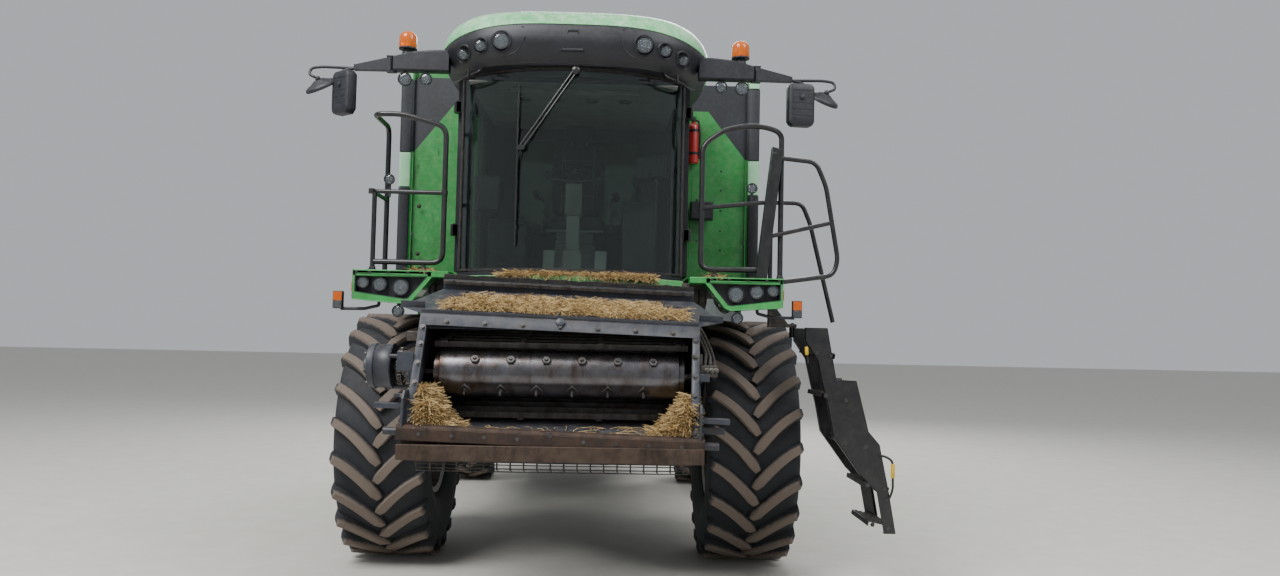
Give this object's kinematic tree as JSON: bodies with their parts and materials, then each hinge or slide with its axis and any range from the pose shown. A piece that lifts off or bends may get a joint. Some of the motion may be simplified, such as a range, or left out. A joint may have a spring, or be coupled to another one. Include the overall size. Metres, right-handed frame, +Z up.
{
  "type": "combine harvester",
  "caption": "Self-propelled combine harvester without its header: raised feeder house, glazed cab, grain tank, folded unloading auger and straw hood on large front tyres",
  "frame": {"origin": "middle of the footprint of the parked machine, on the ground", "axes": "+Z up, the machine faces -Y, so its length lies along Y and the driver's left is +X"},
  "size_m": [3.795, 8.22, 3.805],
  "materials": {
    "dark_frame": "matt black paint with dust",
    "body_green": "gloss green paint, faded on the upper faces",
    "housing_grey": "dark grey paint",
    "frame_blue_grey": "worn blue grey paint",
    "rim_silver": "silver paint with dust",
    "tyre_black": "rubber with dry soil on the lugs",
    "steel_bright": "polished by the crop",
    "rod_chrome": "bright",
    "black_plastic": "textured",
    "clear_glass": "clear",
    "cushion_cloth": "woven",
    "grey_trim": "textured",
    "lamp_clear": "ribbed",
    "amber_plastic": "translucent",
    "red_paint": "gloss",
    "burnt_steel": "rusty"
  },
  "bodies": {
    "machine": {"chassis": "dark_frame", "front_frame": "dark_frame", "deck_frame": "dark_frame", "threshing_body": "housing_grey", "front_axle": "dark_frame", "rear_axle": "dark_frame", "platform": "body_green", "cab_shell": "black_plastic", "windscreen": "clear_glass", "roof_cap": "body_green", "roof_fascia": "black_plastic", "driver_seat": "cushion_cloth", "cab_controls": "grey_trim", "front_wall": "body_green", "upper_panels": "black_plastic", "grain_tank": "body_green", "engine": "dark_frame", "engine_hood": "body_green", "radiator_screen": "dark_frame", "exhaust": "burnt_steel", "straw_hood": "body_green", "chopper": "dark_frame", "rear_ladder": "dark_frame", "handrails": "dark_frame", "light_beams": "black_plastic", "beacons": "amber_plastic", "lamps": "lamp_clear", "extinguisher": "red_paint", "wiper": "black_plastic"},
    "front_wheel_left": {"front_rim_left": "rim_silver", "front_tyre_left": "tyre_black"},
    "front_wheel_right": {"front_rim_right": "rim_silver", "front_tyre_right": "tyre_black"},
    "knuckle_left": {"knuckle_left": "dark_frame"},
    "knuckle_right": {"knuckle_right": "dark_frame"},
    "rear_wheel_left": {"rear_rim_left": "rim_silver", "rear_tyre_left": "tyre_black"},
    "rear_wheel_right": {"rear_rim_right": "rim_silver", "rear_tyre_right": "tyre_black"},
    "tie_rod": {"tie_rod": "dark_frame"},
    "feeder": {"feeder_house": "frame_blue_grey", "feeder_frame": "frame_blue_grey"},
    "lift_barrels": {"lift_barrels": "dark_frame"},
    "lift_rods": {"lift_rods": "rod_chrome"},
    "intake_drum": {"intake_drum": "steel_bright"},
    "ladder": {"ladder": "dark_frame"},
    "unloading_auger": {"auger_tube": "body_green"},
    "door_left": {"door_left": "black_plastic", "door_glass_left": "clear_glass"},
    "door_right": {"door_right": "black_plastic", "door_glass_right": "clear_glass"},
    "side_panel_left": {"side_panel_left": "body_green"},
    "side_panel_right": {"side_panel_right": "body_green"},
    "rear_panel_left": {"rear_panel_left": "body_green"},
    "rear_panel_right": {"rear_panel_right": "body_green"},
    "tank_cover_left": {"tank_cover_left": "black_plastic"},
    "tank_cover_right": {"tank_cover_right": "black_plastic"},
    "mirror_left": {"mirror_left": "black_plastic"},
    "mirror_right": {"mirror_right": "black_plastic"}
  },
  "joints": [
    {"name": "front_wheel_left_spin", "type": "hinge", "parent": "machine", "child": "front_wheel_left", "pos_m": [0.991, -1.54, 0.89], "axis": [1, 0, 0], "continuous": true},
    {"name": "front_wheel_right_spin", "type": "hinge", "parent": "machine", "child": "front_wheel_right", "pos_m": [-1.369, -1.54, 0.89], "axis": [1, 0, 0], "continuous": true},
    {"name": "steer_left", "type": "hinge", "parent": "machine", "child": "knuckle_left", "pos_m": [0.741, 2.31, 0.628], "axis": [0, 0, 1], "range_deg": [-36, 36]},
    {"name": "steer_right", "type": "hinge", "parent": "machine", "child": "knuckle_right", "pos_m": [-1.119, 2.31, 0.628], "axis": [0, 0, 1], "range_deg": [-36, 36]},
    {"name": "rear_wheel_left_spin", "type": "hinge", "parent": "knuckle_left", "child": "rear_wheel_left", "pos_m": [1.021, 2.31, 0.628], "axis": [1, 0, 0], "continuous": true},
    {"name": "rear_wheel_right_spin", "type": "hinge", "parent": "knuckle_right", "child": "rear_wheel_right", "pos_m": [-1.399, 2.31, 0.628], "axis": [1, 0, 0], "continuous": true},
    {"name": "tie_rod_slide", "type": "slide", "parent": "machine", "child": "tie_rod", "axis": [1, 0, 0], "range_m": [-0.125, 0.125]},
    {"name": "feeder_lift", "type": "hinge", "parent": "machine", "child": "feeder", "pos_m": [-0.189, -1.69, 1.64], "axis": [1, 0, 0], "range_deg": [0, 23]},
    {"name": "lift_barrel_turn", "type": "hinge", "parent": "machine", "child": "lift_barrels", "pos_m": [-0.189, -1.67, 0.76], "axis": [1, 0, 0], "range_deg": [-1, 21]},
    {"name": "lift_rod_slide", "type": "slide", "parent": "lift_barrels", "child": "lift_rods", "axis": [0, -0.9525, 0.3045], "range_m": [-0.355, 0.005]},
    {"name": "intake_drum_spin", "type": "hinge", "parent": "feeder", "child": "intake_drum", "pos_m": [-0.189, -3.675, 1.43], "axis": [1, 0, 0], "continuous": true},
    {"name": "ladder_swing", "type": "hinge", "parent": "machine", "child": "ladder", "pos_m": [1.311, -2.416, 1.69], "axis": [0, 0, -1], "range_deg": [0, 90]},
    {"name": "auger_swing", "type": "hinge", "parent": "machine", "child": "unloading_auger", "pos_m": [0.971, -1.06, 2.88], "axis": [0, 0, -1], "range_deg": [0, 100]},
    {"name": "door_left_swing", "type": "hinge", "parent": "machine", "child": "door_left", "pos_m": [0.563, -2.7, 2.66], "axis": [0, 0, -1], "range_deg": [0, 58]},
    {"name": "door_right_swing", "type": "hinge", "parent": "machine", "child": "door_right", "pos_m": [-0.941, -2.7, 2.66], "axis": [0, 0, 1], "range_deg": [0, 58]},
    {"name": "side_panel_left_lift", "type": "hinge", "parent": "machine", "child": "side_panel_left", "pos_m": [1.171, -0.19, 2.55], "axis": [0, -1, 0], "range_deg": [0, 78]},
    {"name": "side_panel_right_lift", "type": "hinge", "parent": "machine", "child": "side_panel_right", "pos_m": [-1.549, -0.19, 2.55], "axis": [0, 1, 0], "range_deg": [0, 78]},
    {"name": "rear_panel_left_lift", "type": "hinge", "parent": "machine", "child": "rear_panel_left", "pos_m": [1.171, 1.86, 2.55], "axis": [0, -1, 0], "range_deg": [0, 78]},
    {"name": "rear_panel_right_lift", "type": "hinge", "parent": "machine", "child": "rear_panel_right", "pos_m": [-1.549, 1.86, 2.55], "axis": [0, 1, 0], "range_deg": [0, 78]},
    {"name": "tank_cover_left_lift", "type": "hinge", "parent": "machine", "child": "tank_cover_left", "pos_m": [0.791, -0.215, 3.7025], "axis": [0, 1, 0], "range_deg": [0, 110]},
    {"name": "tank_cover_right_lift", "type": "hinge", "parent": "machine", "child": "tank_cover_right", "pos_m": [-1.529, -0.215, 3.7025], "axis": [0, -1, 0], "range_deg": [0, 110]},
    {"name": "mirror_left_fold", "type": "hinge", "parent": "machine", "child": "mirror_left", "pos_m": [0.996, -2.825, 3.385], "axis": [0, 0, -1], "range_deg": [0, 80]},
    {"name": "mirror_right_fold", "type": "hinge", "parent": "machine", "child": "mirror_right", "pos_m": [-1.374, -2.825, 3.385], "axis": [0, 0, 1], "range_deg": [0, 80]}
  ],
  "couplings": [
    {"joint": "steer_right", "follows": "steer_left", "ratio": 1},
    {"joint": "tie_rod_slide", "follows": "steer_left", "m_per_rad": 0.19},
    {"joint": "lift_barrel_turn", "follows": "feeder_lift", "ratio": 0.8477},
    {"joint": "lift_rod_slide", "follows": "feeder_lift", "m_per_rad": -0.8584}
  ]
}
